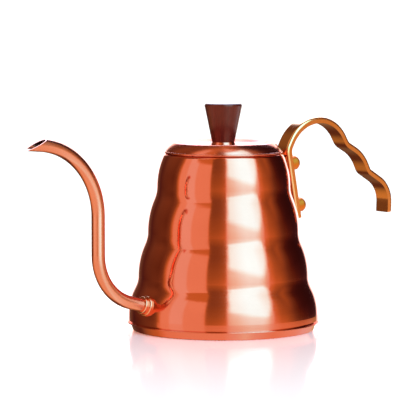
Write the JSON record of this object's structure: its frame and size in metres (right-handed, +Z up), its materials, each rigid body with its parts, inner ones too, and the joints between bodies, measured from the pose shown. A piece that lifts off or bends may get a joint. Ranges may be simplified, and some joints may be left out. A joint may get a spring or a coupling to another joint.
{
  "type": "gooseneck kettle",
  "caption": "Copper gooseneck drip kettle with a body of four stacked bells, a lift-off lid with a dark turned wood knob, a thin swan-neck spout and a waved flat-bar brass handle",
  "frame": {"origin": "on the body's axis, at the plane the base stands on", "axes": "+Z up along the body's axis, +X towards the handle, -X towards the spout, +Y across the kettle"},
  "size_m": [0.3232, 0.1388, 0.162],
  "materials": {
    "polished_copper": "mirror-polished copper sheet with faint circular spinning marks",
    "satin_brass": "brushed along its length, edges polished",
    "steel_fixing": "plain turned stainless steel",
    "dark_wood": "fine dark red-brown hardwood, oiled to a soft shine"
  },
  "bodies": {
    "kettle": {"body_shell": "polished_copper", "base_pan": "polished_copper", "neck_ring": "polished_copper", "spout_tube": "polished_copper", "spout_collar": "polished_copper", "handle_bracket": "polished_copper", "handle_strap": "satin_brass", "handle_studs": "steel_fixing", "handle_cap_nuts": "satin_brass"},
    "lid": {"lid_shell": "polished_copper", "lid_skirt": "polished_copper", "knob_ferrule": "satin_brass", "knob": "dark_wood", "knob_insert": "satin_brass", "knob_washer": "steel_fixing", "knob_screw": "steel_fixing"}
  },
  "joints": [
    {"name": "lid_lift", "type": "slide", "parent": "kettle", "child": "lid", "axis": [0, 0, 1], "range_m": [0, 0.06]}
  ]
}
